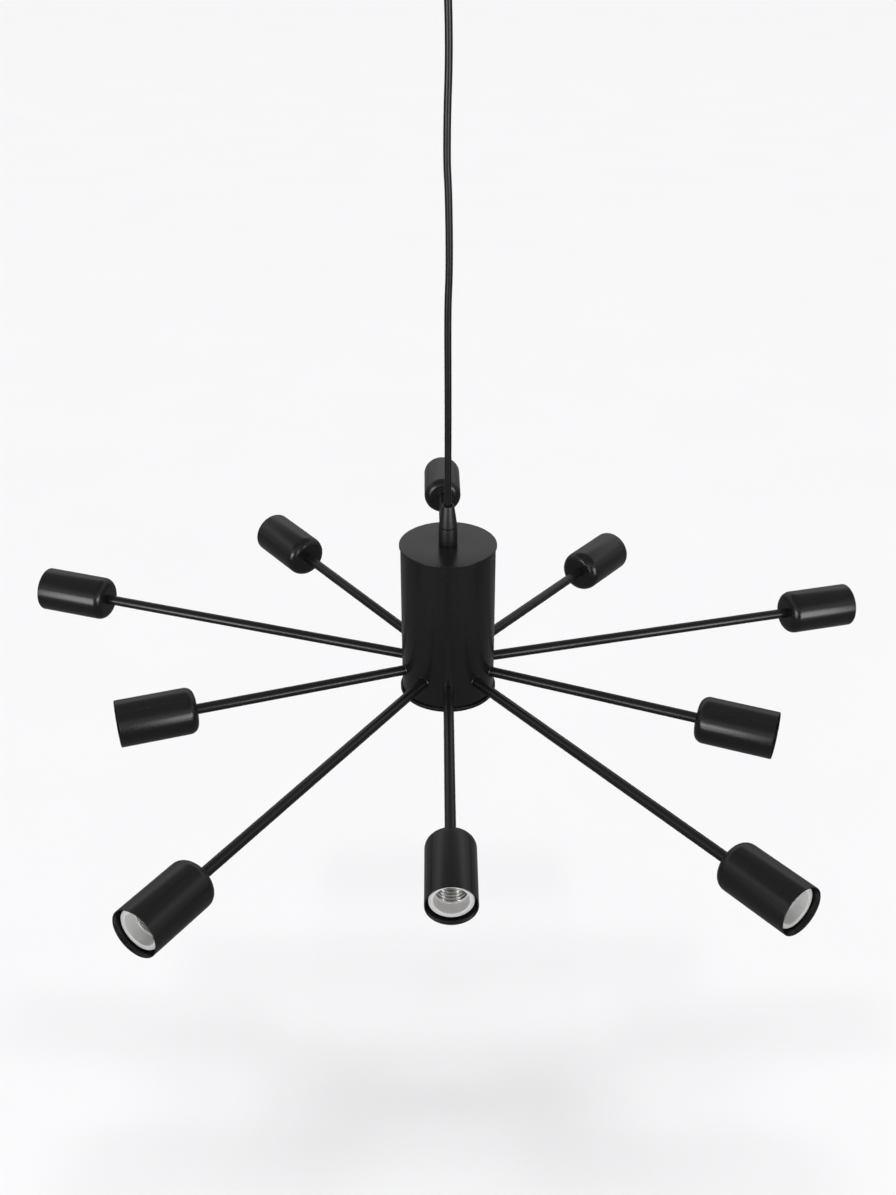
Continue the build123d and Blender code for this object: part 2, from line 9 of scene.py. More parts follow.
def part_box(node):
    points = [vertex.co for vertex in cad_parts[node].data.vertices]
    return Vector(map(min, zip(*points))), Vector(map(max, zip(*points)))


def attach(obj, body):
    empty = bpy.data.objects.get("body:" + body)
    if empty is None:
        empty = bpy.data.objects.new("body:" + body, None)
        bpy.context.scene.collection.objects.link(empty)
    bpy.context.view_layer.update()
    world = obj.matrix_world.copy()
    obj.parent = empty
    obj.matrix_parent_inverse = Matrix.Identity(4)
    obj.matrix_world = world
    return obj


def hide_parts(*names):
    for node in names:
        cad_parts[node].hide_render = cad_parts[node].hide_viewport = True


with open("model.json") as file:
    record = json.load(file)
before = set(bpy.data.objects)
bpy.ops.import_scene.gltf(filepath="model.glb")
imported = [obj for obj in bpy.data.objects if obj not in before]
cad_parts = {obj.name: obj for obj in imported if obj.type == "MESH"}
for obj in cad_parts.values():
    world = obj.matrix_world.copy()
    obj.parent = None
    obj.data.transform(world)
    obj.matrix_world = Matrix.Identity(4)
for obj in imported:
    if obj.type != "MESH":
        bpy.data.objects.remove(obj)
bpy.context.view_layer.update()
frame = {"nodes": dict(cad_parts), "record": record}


# ---- Viewpoint ----------------------------------------------------------------------------
# The light is seen from the front and from above, a little over the height of its ceiling.
# The lens follows from the picture's width and the focal length, both in picture points.
PICTURE_WIDTH = 896
FOCAL_LENGTH = 1406.3
SENSOR_WIDTH = 36.0
EYE = (0, -1.19965, 0.06005)
LOOKING_DOWN = 29.57
camera = bpy.data.cameras.new("viewpoint")
camera.sensor_fit = "HORIZONTAL"
camera.sensor_width = SENSOR_WIDTH
camera.lens = SENSOR_WIDTH * FOCAL_LENGTH / PICTURE_WIDTH
viewpoint = bpy.data.objects.new("viewpoint", camera)
viewpoint.location = EYE
viewpoint.rotation_euler = (radians(90 - LOOKING_DOWN), 0, 0)
bpy.context.scene.collection.objects.link(viewpoint)
bpy.context.scene.camera = viewpoint


# ---- Pendant cable ------------------------------------------------------------------------
# One round flex, 6.5 mm over its smooth black jacket. It hangs taut from the rose's cord
# grip and keeps the slight waves of the reel that it came off. Its stripped lower end is
# inside the hub, and a short length above the swing axis runs on into the rose.
class Tree:
    """A socket of a node tree that can be reckoned with: each operator adds its Math node."""

    def __init__(self, tree, socket=None):
        self.tree = tree
        self.socket = socket

    def node(self, kind, settings=(), values=(), output=0):
        """Any other node: its settings, then the values or links of its sockets."""
        made = self.tree.nodes.new(kind)
        for name, value in dict(settings).items():
            if name == "stops":
                self.fill_ramp(made.color_ramp, value)
            else:
                setattr(made, name, value)
        for name, value in dict(values).items():
            if isinstance(value, Tree):
                self.tree.links.new(value.socket, made.inputs[name])
            else:
                made.inputs[name].default_value = value
        return Tree(self.tree, made.outputs[output]) if made.outputs else Tree(self.tree)

    @staticmethod
    def fill_ramp(ramp, stops):
        while len(ramp.elements) < len(stops):
            ramp.elements.new(0.5)
        for element, (place, level) in zip(ramp.elements, stops):
            element.position = place
            element.color = (level, level, level, 1)

    def maths(self, operation, *operands):
        return self.node("ShaderNodeMath", {"operation": operation}, dict(enumerate(operands)))

    def __add__(self, other):
        return self.maths("ADD", self, other)

    __radd__ = __add__

    def __sub__(self, other):
        return self.maths("SUBTRACT", self, other)

    def __rsub__(self, other):
        return self.maths("SUBTRACT", other, self)

    def __mul__(self, other):
        return self.maths("MULTIPLY", self, other)

    __rmul__ = __mul__

    def __truediv__(self, other):
        return self.maths("DIVIDE", self, other)

    def object_place(self):
        """The piece's own coordinates, which stay with it as it moves."""
        return self.node("ShaderNodeTexCoord", output=3)

    def noise(self, scale, detail=2.0, roughness=0.5):
        """Fine grain in the piece's own coordinates, centred on nought."""
        grain = {"Scale": scale, "Detail": detail, "Roughness": roughness}
        grain["Vector"] = self.object_place()
        return self.node("ShaderNodeTexNoise", values=grain) - 0.5

    def tint(self, mask, dark, light):
        """Between two colours by a mask from 0 to 1, on a Mix node's colour sockets."""
        return self.node(
            "ShaderNodeMix",
            {"data_type": "RGBA"},
            {0: mask, 6: (*dark, 1), 7: (*light, 1)},
            output=2,
        )

    def bump(self, height, distance):
        return self.node("ShaderNodeBump", values={"Height": height, "Distance": distance})


def finish(name, **sockets):
    """A material with its principled shader, its fixed values and a tree to reckon in."""
    material = bpy.data.materials.new(name)
    material.use_nodes = True
    shader = material.node_tree.nodes["Principled BSDF"]
    for socket, value in sockets.items():
        shader.inputs[socket.replace("_", " ")].default_value = value
    return material, shader, Tree(material.node_tree)


def connect(tree, shader, **sockets):
    for socket, value in sockets.items():
        tree.tree.links.new(value.socket, shader.inputs[socket.replace("_", " ")])


def cover(material, *nodes):
    """Gives CAD nodes that are shown as they are their material."""
    for node in nodes:
        frame["nodes"][node].data.materials[0] = material


def jacket_finish():
    """Smooth black flex: fine grain and a slightly uneven sheen."""
    material, shader, tree = finish("black_flex", Specular_IOR_Level=0.25)
    grain = tree.noise(900)
    cloud = tree.noise(45, detail=1.0)
    connect(
        tree,
        shader,
        Base_Color=tree.tint(cloud + 0.5, (0.0045, 0.0045, 0.0048), (0.0075, 0.0075, 0.0078)),
        Roughness=0.3 + cloud * 0.12 + grain * 0.05,
        Normal=tree.bump(grain, 0.00002),
    )
    return material


CABLE_RADIUS = 0.00325
ARM_PLANE = -0.695
black_flex = jacket_finish()

# Corners of the route: offset to the side, and height above the arms
CABLE_ROUTE = (
    (0.0, 0.092),
    (0.0, 0.1878),
    (0.0001, 0.290),
    (-0.0002, 0.340),
    (0.0, 0.372),
    (0.0010, 0.395),
    (0.0011, 0.420),
    (0.0008, 0.448),
    (0.0002, 0.472),
    (-0.0008, 0.489),
    (-0.0008, 0.512),
    (-0.0004, 0.537),
    (0.0003, 0.557),
    (0.0007, 0.579),
    (0.0005, 0.602),
    (0.0, 0.6197),
    (0.0, 0.6287),
)
flex = bpy.data.curves.new("pendant_flex", "CURVE")
flex.dimensions = "3D"
flex.bevel_depth = CABLE_RADIUS
flex.bevel_resolution = 10
flex.resolution_u = 16
flex.use_fill_caps = True
spline = flex.splines.new("NURBS")
spline.points.add(len(CABLE_ROUTE) - 1)
for point, (aside, above) in zip(spline.points, CABLE_ROUTE):
    point.co = (aside, 0, ARM_PLANE + above, 1)
spline.order_u = 3
spline.use_endpoint_u = True
flex.materials.append(black_flex)
pendant_flex = bpy.data.objects.new("pendant_flex", flex)
bpy.context.scene.collection.objects.link(pendant_flex)
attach(pendant_flex, "cable")
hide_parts("pendant_cable")
cover(black_flex, "cable_tail")


# ---- Ceiling rose -------------------------------------------------------------------------
# A pressed steel cup, 120 mm across, in the same black powder coat as the rest. It slides up
# over the bracket and two screws through its side hold it there.
MERGED = 1e-7
SOFT_EDGE = radians(32)


def rounded(corners, steps=6):
    """A closed outline from (radius, height, rounding) corners, each rounding as an arc."""
    outline = []
    for index, (x, y, rounding) in enumerate(corners):
        here = Vector((x, y))
        if rounding == 0:
            outline.append(here)
            continue
        before = (Vector(corners[index - 1][:2]) - here).normalized()
        after = (Vector(corners[(index + 1) % len(corners)][:2]) - here).normalized()
        half = before.angle(after) / 2
        centre = here + (before + after).normalized() * (rounding / sin(half))
        start = here + before * (rounding / tan(half)) - centre
        sweep = start.angle_signed(here + after * (rounding / tan(half)) - centre)
        for step in range(steps + 1):
            outline.append(centre + Matrix.Rotation(-sweep * step / steps, 2) @ start)
    return outline


def mesh_of(name, build):
    """A merged mesh from a function that fills a bmesh, facing out, smooth but for its edges."""
    mesh = bpy.data.meshes.new(name)
    work = bmesh.new()
    build(work)
    bmesh.ops.remove_doubles(work, verts=work.verts, dist=MERGED)
    bmesh.ops.recalc_face_normals(work, faces=work.faces)
    work.to_mesh(mesh)
    work.free()
    mesh.shade_smooth()
    mesh.set_sharp_from_angle(angle=SOFT_EDGE)
    return mesh


def turn_outline(work, outline, sides):
    """Turns a closed outline of (radius, height) about Z; a point on the axis is one vertex."""
    rings = []
    for radius, height in outline:
        ring = []
        for side in range(1 if radius < MERGED else sides):
            angle = 2 * pi * side / sides
            ring.append(work.verts.new((radius * cos(angle), radius * sin(angle), height)))
        rings.append(ring)
    for ring, following in zip(rings, rings[1:] + rings[:1]):
        if len(ring) == len(following) == 1:
            continue
        for side in range(sides):
            ahead = (side + 1) % sides
            corners = [ring[side % len(ring)], following[side % len(following)]]
            corners += [following[ahead % len(following)], ring[ahead % len(ring)]]
            work.faces.new(dict.fromkeys(corners))


def turned_mesh(name, corners, sides=96, steps=6):
    return mesh_of(name, lambda work: turn_outline(work, rounded(corners, steps), sides))


def piece(name, mesh, body, slot, material, *nodes, place=None):
    """A finished piece: its place goes into its mesh, then it rides on its body."""
    if place is not None:
        mesh.transform(place)
    mesh.materials.clear()
    mesh.materials.append(material)
    made = bpy.data.objects.new(name, mesh)
    bpy.context.scene.collection.objects.link(made)
    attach(made, body)
    if nodes:
        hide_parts(*nodes)


def coat_finish(name, roughness, grain_height):
    """A black coat: fine orange peel, and a sheen that varies a little over the piece."""
    material, shader, tree = finish(name, Specular_IOR_Level=0.3)
    peel = tree.noise(620, roughness=0.55)
    speck = tree.noise(2600, detail=1.0)
    cloud = tree.noise(14)
    mask = cloud + peel * 0.4 + 0.5
    connect(
        tree,
        shader,
        Base_Color=tree.tint(mask, (0.0072, 0.0072, 0.0073), (0.0098, 0.0098, 0.0099)),
        Roughness=roughness + cloud * 0.07 + peel * 0.05,
        Normal=tree.bump(peel + speck * 0.5, grain_height),
    )
    return material


powder_coat = coat_finish("black_powder_coat", roughness=0.24, grain_height=0.00001)
ROSE_WALL = 0.0012
ROSE_EDGE = 0.004
ROSE_RIM = 0.0004
ROSE_HOLE = 0.0051
ROSE_SIDES = 144
rose_low, rose_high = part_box("ceiling_rose")
rose_radius = rose_high.x
rose_profile = (
    (ROSE_HOLE, rose_low.z, 0),
    (rose_radius, rose_low.z, ROSE_EDGE),
    (rose_radius, rose_high.z, ROSE_RIM),
    (rose_radius - ROSE_WALL, rose_high.z, ROSE_RIM),
    (rose_radius - ROSE_WALL, rose_low.z + ROSE_WALL, ROSE_EDGE - ROSE_WALL),
    (ROSE_HOLE, rose_low.z + ROSE_WALL, 0),
)
rose_cup = turned_mesh("rose_cup", rose_profile, ROSE_SIDES)
piece("rose_cup", rose_cup, "ceiling", "black_coat", powder_coat, "ceiling_rose")


# ---- Rose fixings -------------------------------------------------------------------------
# Zinc-plated steel strap, nipple and nut, and a nylon terminal block under the strap. Two
# black screws go through the rose's side into the strap's bent ends. Once the rose is up,
# only the screws' heads show.
def zinc_finish():
    material, shader, tree = finish("zinc_plate", Metallic=1.0)
    spangle = {"Vector": tree.object_place(), "Scale": 260}
    cell = tree.node("ShaderNodeTexVoronoi", values=spangle)
    scratch = tree.noise(1500)
    connect(
        tree,
        shader,
        Base_Color=tree.tint(cell + scratch * 0.3, (0.50, 0.51, 0.53), (0.66, 0.67, 0.68)),
        Roughness=0.34 + cell * 0.1 + scratch * 0.1,
        Normal=tree.bump(scratch, 0.00002),
    )
    return material


def nylon_finish():
    material, shader, tree = finish("natural_nylon", Specular_IOR_Level=0.45)
    cloud = tree.noise(120)
    connect(
        tree,
        shader,
        Base_Color=tree.tint(cloud + 0.5, (0.72, 0.72, 0.69), (0.80, 0.80, 0.77)),
        Roughness=0.45 + cloud * 0.15,
        Normal=tree.bump(tree.noise(1800), 0.00002),
    )
    return material


zinc_plate = zinc_finish()
natural_nylon = nylon_finish()
cover(zinc_plate, "ceiling_bracket", "rose_nipple", "rose_nut")
cover(natural_nylon, "rose_terminal_block")
cover(powder_coat, "rose_screws")


# ---- Cord grips ---------------------------------------------------------------------------
# Black moulded grips, one under the rose and one on the hub's lid: a plain collar with a
# rubber bush in it, and a cone that screws down and pinches the bush on the cable.
def rubber_finish():
    material, shader, tree = finish("soft_rubber", Specular_IOR_Level=0.3)
    cloud = tree.noise(300)
    connect(
        tree,
        shader,
        Base_Color=tree.tint(cloud + 0.5, (0.016, 0.016, 0.016), (0.028, 0.028, 0.028)),
        Roughness=0.75 + cloud * 0.15,
        Normal=tree.bump(cloud, 0.00004),
    )
    return material


# The collar carries a spigot, which holds the bush and takes the cone's thread
GRIP_RADIUS = 0.009
GRIP_BORE = 0.0037
COLLAR_TOP = 0.0183
SPIGOT_RADIUS = 0.0065
SPIGOT_TOP = 0.0263
BUSH_RADIUS = 0.0053
BUSH_SEAT = 0.0163
collar_profile = (
    (GRIP_BORE, 0.0, 0),
    (GRIP_RADIUS, 0.0, 0.0004),
    (GRIP_RADIUS, COLLAR_TOP, 0.0007),
    (SPIGOT_RADIUS, COLLAR_TOP, 0),
    (SPIGOT_RADIUS, SPIGOT_TOP, 0.0004),
    (BUSH_RADIUS, SPIGOT_TOP, 0),
    (BUSH_RADIUS, BUSH_SEAT, 0),
    (GRIP_BORE, BUSH_SEAT, 0),
)

# The cone is threaded at its foot, tapers on the bush and flares at its mouth
CONE_FOOT = 0.0186
CONE_TOP = 0.0408
CONE_MOUTH = 0.0059
CONE_THREAD = 0.0066
CONE_THREAD_TOP = 0.0266
PINCH_WIDE = 0.0055
PINCH_TIGHT = 0.0045
PINCH_TOP = 0.0326
FLARE_RADIUS = 0.00445
FLARE_DEPTH = 0.003
CONE_BORE = 0.00365
cone_profile = (
    (CONE_THREAD, CONE_FOOT, 0),
    (GRIP_RADIUS, CONE_FOOT, 0.0007),
    (CONE_MOUTH, CONE_TOP, 0.0006),
    (FLARE_RADIUS, CONE_TOP, 0.0002),
    (CONE_BORE, CONE_TOP - FLARE_DEPTH, 0),
    (CONE_BORE, PINCH_TOP, 0),
    (PINCH_TIGHT, PINCH_TOP, 0),
    (PINCH_WIDE, CONE_THREAD_TOP, 0),
    (CONE_THREAD, CONE_THREAD_TOP, 0),
)
GRIP_SIDES = 64
soft_rubber = rubber_finish()
moulded_black = coat_finish("moulded_black", roughness=0.4, grain_height=0.00002)
lid_low, lid_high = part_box("top_lid")
on_lid = Matrix.Translation((0, 0, lid_high.z))
under_rose = Matrix.Translation((0, 0, rose_low.z)) @ Matrix.Rotation(pi, 4, "X")
grips = (("hub_grip", "hub", "hub_cone", on_lid), ("rose_grip", "ceiling", "rose_cone", under_rose))
for grip, body, cone_body, seat in grips:
    collar = turned_mesh(f"{grip}_collar", collar_profile, GRIP_SIDES)
    piece(f"{grip}_collar", collar, body, "grip_plastic", moulded_black, f"{grip}_base", place=seat)
    cap = turned_mesh(f"{grip}_cap", cone_profile, GRIP_SIDES)
    piece(f"{grip}_cap", cap, cone_body, "grip_plastic", moulded_black, f"{grip}_cone", place=seat)
    cover(soft_rubber, f"{grip}_bush")


# ---- Hub ----------------------------------------------------------------------------------
# A rolled steel tube, 92 mm across, with a flat lid that overhangs it a little and a pressed
# bottom cap whose skirt goes round its foot, all three powder coated black. A zinc-plated
# strap and nipple under the lid carry it, and a nylon terminal block joins its wires.
LID_SHEET = 0.002
LID_HOLE = 0.0051
LID_SKIRT_OUTER = 0.0446
LID_SKIRT_INNER = 0.0431
lid_face = lid_high.z - LID_SHEET
lid_profile = (
    (LID_HOLE, lid_face, 0),
    (LID_HOLE, lid_high.z, 0.0003),
    (lid_high.x, lid_high.z, 0.0006),
    (lid_high.x, lid_face, 0.0002),
    (LID_SKIRT_OUTER, lid_face, 0),
    (LID_SKIRT_OUTER, lid_low.z, 0.0003),
    (LID_SKIRT_INNER, lid_low.z, 0.0003),
    (LID_SKIRT_INNER, lid_face, 0),
)
HUB_WALL = 0.0012
tube_low, tube_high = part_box("hub_tube")
hub_radius = tube_high.x
tube_profile = (
    (hub_radius, tube_low.z, 0),
    (hub_radius, tube_high.z, 0),
    (hub_radius - HUB_WALL, tube_high.z, 0),
    (hub_radius - HUB_WALL, tube_low.z, 0),
)
CAP_SHEET = 0.0015
cap_low, cap_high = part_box("bottom_cap")
cap_radius = cap_high.x
cap_profile = (
    (0, cap_low.z, 0),
    (cap_radius, cap_low.z, 0.0012),
    (cap_radius, cap_high.z, 0.0004),
    (cap_radius - CAP_SHEET, cap_high.z, 0.0003),
    (cap_radius - CAP_SHEET, cap_low.z + CAP_SHEET, 0),
    (0, cap_low.z + CAP_SHEET, 0),
)
HUB_SIDES = 144
for name, profile, node in (
    ("hub_lid", lid_profile, "top_lid"),
    ("hub_drum", tube_profile, "hub_tube"),
    ("hub_foot", cap_profile, "bottom_cap"),
):
    piece(name, turned_mesh(name, profile, HUB_SIDES), "hub", "black_coat", powder_coat, node)
cover(zinc_plate, "lid_bridge", "hub_nipple", "hub_nipple_nuts")
cover(natural_nylon, "hub_terminal_block")


# ---- Arms ---------------------------------------------------------------------------------
# Ten straight steel tubes, 10 mm across, long and short in turn, threaded at both ends and
# locked with nuts. Each was set by hand, so each stands a degree or so off its even place.
# Sizes along an arm are taken from the hub's axis outwards, or back from the cup's mouth
SHELL_MIDDLE = 0.0285
ARM_RADIUS = 0.005
ARM_WALL = 0.001
ARM_EDGE = 0.0003
ARM_SIDES = 48
ARM_INNER_END = 0.033
ARM_OUTER_END = 0.056


class Arm:
    """One arm's frame from its screw shell's mount: Z out along it, Y up."""

    def __init__(self, mount):
        self.outward = Vector(mount["axis"])
        mouth = Vector(mount["pos_m"]) + self.outward * SHELL_MIDDLE
        self.reach = (mouth - Vector((0, 0, ARM_PLANE))).length
        across = Vector((0, 0, 1)).cross(self.outward).normalized()
        up = self.outward.cross(across)
        self.turn = Matrix((across, up, self.outward)).transposed()


arms = [Arm(mount) for mount in frame["record"]["mounts"] if mount["name"].startswith("socket_")]


def arm_points(chosen):
    """One point for each chosen arm, on the hub's axis, with the arm's turn and reach."""
    mesh = bpy.data.meshes.new("arm_points")
    mesh.from_pydata([(0, 0, ARM_PLANE)] * len(chosen), [], [])
    heading = mesh.attributes.new("heading", "FLOAT_VECTOR", "POINT")
    for index, arm in enumerate(chosen):
        heading.data[index].vector = arm.turn.to_euler()
    reach = mesh.attributes.new("reach", "FLOAT", "POINT")
    for index, arm in enumerate(chosen):
        reach.data[index].value = arm.reach
    return mesh


def new_tree(name, **inputs):
    """An empty geometry tree with a geometry input, named inputs and a geometry output."""
    group = bpy.data.node_groups.new(name, "GeometryNodeTree")
    for label, kind in {"Geometry": "Geometry", **inputs}.items():
        group.interface.new_socket(label, in_out="INPUT", socket_type=f"NodeSocket{kind}")
    group.interface.new_socket("Geometry", in_out="OUTPUT", socket_type="NodeSocketGeometry")
    given = [socket for socket in group.nodes.new("NodeGroupInput").outputs if socket.name]
    return Tree(group), {socket.name: Tree(group, socket) for socket in given}


def end_tree(tree, geometry, material):
    """Realizes the copies, gives them their material and ends the tree."""
    solid = tree.node("GeometryNodeRealizeInstances", values={"Geometry": geometry})
    coated = tree.node("GeometryNodeSetMaterial", values={"Geometry": solid, "Material": material})
    tree.node("NodeGroupOutput", values={"Geometry": coated})


def named_attribute(tree, name, kind):
    return tree.node("GeometryNodeInputNamedAttribute", {"data_type": kind}, {"Name": name})


def seat_tree():
    """Copies a piece to each arm, a set distance behind the cup's mouth."""
    tree, given = new_tree("seat_on_arms", Piece="Object", Behind="Float", Material="Material")
    heading = named_attribute(tree, "heading", "FLOAT_VECTOR")
    reach = named_attribute(tree, "reach", "FLOAT")
    turn = tree.node("FunctionNodeEulerToRotation", values={"Euler": heading})
    along = tree.node("ShaderNodeCombineXYZ", values={"Z": reach - given["Behind"]})
    step = tree.node("FunctionNodeRotateVector", values={"Vector": along, "Rotation": turn})
    moved = {"Geometry": given["Geometry"], "Offset": step}
    seats = tree.node("GeometryNodeSetPosition", values=moved)
    shape = tree.node("GeometryNodeObjectInfo", values={"Object": given["Piece"]}, output=4)
    seated = {"Points": seats, "Instance": shape, "Rotation": turn}
    copies = tree.node("GeometryNodeInstanceOnPoints", values=seated)
    end_tree(tree, copies, given["Material"])
    return tree.tree


def grown(name, tree, base, **sizes):
    """The plain mesh that a tree makes of a base mesh."""
    carrier = bpy.data.objects.new(name, base)
    bpy.context.scene.collection.objects.link(carrier)
    modifier = carrier.modifiers.new("tree", "NODES")
    modifier.node_group = tree
    for socket in tree.interface.items_tree:
        if socket.in_out == "INPUT" and socket.name in sizes:
            modifier[socket.identifier] = sizes[socket.name]
    ready = carrier.evaluated_get(bpy.context.evaluated_depsgraph_get())
    mesh = bpy.data.meshes.new_from_object(ready)
    mesh.name = name
    bpy.data.objects.remove(carrier)
    for attribute in ("heading", "reach"):
        if attribute in mesh.attributes:
            mesh.attributes.remove(mesh.attributes[attribute])
    return mesh


def on_arms(name, shape, behind, material, chosen):
    """A mesh's copies on the chosen arms, as one mesh."""
    pattern = bpy.data.objects.new(f"{name}_pattern", shape)
    bpy.context.scene.collection.objects.link(pattern)
    sizes = {"Piece": pattern, "Behind": behind, "Material": material}
    mesh = grown(name, seat_on_arms, arm_points(chosen), **sizes)
    bpy.data.objects.remove(pattern)
    return mesh


def numbered(stem):
    return [f"{stem}_{number:02d}" for number in range(1, len(arms) + 1)]


seat_on_arms = seat_tree()
for label, first in (("short", 0), ("long", 1)):
    chosen = arms[first::2]
    length = sum(arm.reach for arm in chosen) / len(chosen) - ARM_OUTER_END - ARM_INNER_END
    arm_profile = (
        (ARM_RADIUS, 0, ARM_EDGE),
        (ARM_RADIUS, length, ARM_EDGE),
        (ARM_RADIUS - ARM_WALL, length, 0),
        (ARM_RADIUS - ARM_WALL, 0, 0),
    )
    tube = turned_mesh("arm", arm_profile, ARM_SIDES)
    rods = on_arms(f"{label}_arms", tube, ARM_OUTER_END + length, powder_coat, chosen)
    replaced = numbered("arm_tube")[first::2]
    piece(f"{label}_arms", rods, "hub", "black_coat", powder_coat, *replaced)
cover(zinc_plate, "arm_lock_nuts")


# ---- Lips round the arms' holes -----------------------------------------------------------
# The hub's sheet is pressed up a little round each hole that an arm goes through. A lip is a
# low ring in the hub's black coat, and it follows the hub's curve all the way round.
LIP_HOLE = 0.0051
LIP_SIDES = 48
# Section of the ring: distance from the hole's edge, and height over the hub's surface
LIP_PROFILE = (
    (0.0, -0.0004),
    (0.0, 0.0004),
    (0.0002, 0.0006),
    (0.0007, 0.0006),
    (0.0012, 0.0),
    (0.0012, -0.0004),
)


def where_arm_meets(arm, foot, radius):
    """The point of a line along the arm, set off by foot, at a distance from the hub's axis."""
    flat, along = foot.xy, arm.outward.xy
    slope, offset = along.dot(along), flat.dot(along)
    rest = flat.dot(flat) - radius**2
    reach = (-offset + (offset * offset - slope * rest) ** 0.5) / slope
    return Vector((0, 0, ARM_PLANE)) + foot + arm.outward * reach


def sew(work, rings):
    """Faces between each ring of vertices and the next; a ring's own ends meet."""
    for ring, following in zip(rings, rings[1:]):
        for index in range(len(ring)):
            ahead = (index + 1) % len(ring)
            work.faces.new((ring[index], following[index], following[ahead], ring[ahead]))


def add_lips(work):
    for arm in arms:
        rings = []
        for step in range(LIP_SIDES):
            angle = 2 * pi * step / LIP_SIDES
            ring = []
            for wide, high in LIP_PROFILE:
                radius = LIP_HOLE + wide
                foot = arm.turn @ Vector((radius * cos(angle), radius * sin(angle), 0))
                ring.append(work.verts.new(where_arm_meets(arm, foot, hub_radius + high)))
            rings.append(ring)
        sew(work, rings + rings[:1])


piece("arm_lips", mesh_of("arm_lips", add_lips), "hub", "black_coat", powder_coat)


# ---- Lampholder cups ----------------------------------------------------------------------
# Drawn steel cups, 45 mm across and 74 mm deep, with a rounded shoulder and a flat back that
# a nut pulls against the arm's threaded end. They take the same black powder coat.
CUP_RADIUS = 0.0225
CUP_DEPTH = 0.074
CUP_WALL = 0.001
CUP_BACK = 0.0012
CUP_SHOULDER = 0.009
CUP_HOLE = 0.0051
CUP_RIM = 0.00035
CUP_SIDES = 96
SHOULDER_STEPS = 10
cup_profile = (
    (CUP_HOLE, 0, 0),
    (CUP_RADIUS, 0, CUP_SHOULDER),
    (CUP_RADIUS, CUP_DEPTH, CUP_RIM),
    (CUP_RADIUS - CUP_WALL, CUP_DEPTH, CUP_RIM),
    (CUP_RADIUS - CUP_WALL, CUP_BACK, CUP_SHOULDER - CUP_BACK),
    (CUP_HOLE, CUP_BACK, 0),
)
cup = turned_mesh("cup", cup_profile, CUP_SIDES, SHOULDER_STEPS)
cups = on_arms("lampholder_cups", cup, CUP_DEPTH, powder_coat, arms)
piece("lampholder_cups", cups, "hub", "black_coat", powder_coat, *numbered("lampholder_cup"))
cover(zinc_plate, "cup_lock_nuts")


# ---- Socket bodies ------------------------------------------------------------------------
# White insulating bodies recessed in the cups. Each screws on the end of its arm and holds
# the screw shell; the skirt in front keeps fingers off the lamp's cap.
def porcelain_finish():
    material, shader, tree = finish("white_insulator", Specular_IOR_Level=0.5)
    cloud = tree.noise(60)
    speck = tree.noise(1400)
    mask = cloud + speck * 0.3 + 0.5
    connect(
        tree,
        shader,
        Base_Color=tree.tint(mask, (0.74, 0.735, 0.72), (0.84, 0.835, 0.82)),
        Roughness=0.4 + cloud * 0.15,
        Normal=tree.bump(speck + cloud, 0.00005),
    )
    return material


white_insulator = porcelain_finish()
BODY_RADIUS = 0.01915
BODY_TAIL = 0.0155
BODY_NECK = 0.008
ARM_HOLE = 0.0051
WIRE_HOLE = 0.004
CHAMBER = 0.0125
SHELL_ROOM = 0.0141
SKIRT = 0.015
BODY_SIDES = 96
# Heights along the arm, from the cup's mouth backwards
BODY_FRONT = -0.0055
SKIRT_BACK = -0.017
TAPER_FRONT = -0.0395
SHELL_SEAT = -0.0405
TAPER_BACK = -0.04315
CHAMBER_FLOOR = -0.047
BODY_BACK = -0.052
ARM_STOP = -0.056
NECK_BACK = -0.065
body_profile = (
    (BODY_RADIUS, BODY_FRONT, 0.0006),
    (BODY_RADIUS, TAPER_FRONT, 0.0005),
    (BODY_TAIL, TAPER_BACK, 0),
    (BODY_TAIL, BODY_BACK, 0.0005),
    (BODY_NECK, BODY_BACK, 0),
    (BODY_NECK, NECK_BACK, 0.0004),
    (ARM_HOLE, NECK_BACK, 0),
    (ARM_HOLE, ARM_STOP, 0),
    (WIRE_HOLE, ARM_STOP, 0),
    (WIRE_HOLE, CHAMBER_FLOOR, 0),
    (CHAMBER, CHAMBER_FLOOR, 0),
    (CHAMBER, SHELL_SEAT, 0),
    (SHELL_ROOM, SHELL_SEAT, 0),
    (SHELL_ROOM, SKIRT_BACK, 0),
    (SKIRT, SKIRT_BACK, 0.0004),
    (SKIRT, BODY_FRONT, 0.0008),
)
insulator = turned_mesh("insulator", body_profile, BODY_SIDES)
bodies = on_arms("insulators", insulator, 0, white_insulator, arms)
piece("insulators", bodies, "hub", "socket_white", white_insulator, "socket_bodies")


# ---- Screw shells -------------------------------------------------------------------------
# Thin bright sheet rolled to the standard 27 mm thread, one in each body. The flange that is
# turned in at its foot rests on the body's inner shoulder.
def shell_finish():
    material, shader, tree = finish("bright_shell", Metallic=1.0)
    cloud = tree.noise(200)
    connect(
        tree,
        shader,
        Base_Color=tree.tint(cloud + 0.5, (0.56, 0.555, 0.545), (0.70, 0.695, 0.685)),
        Roughness=0.13 + cloud * 0.08,
        Normal=tree.bump(tree.noise(1500), 0.00001),
    )
    return material


SEAM = 1e-6


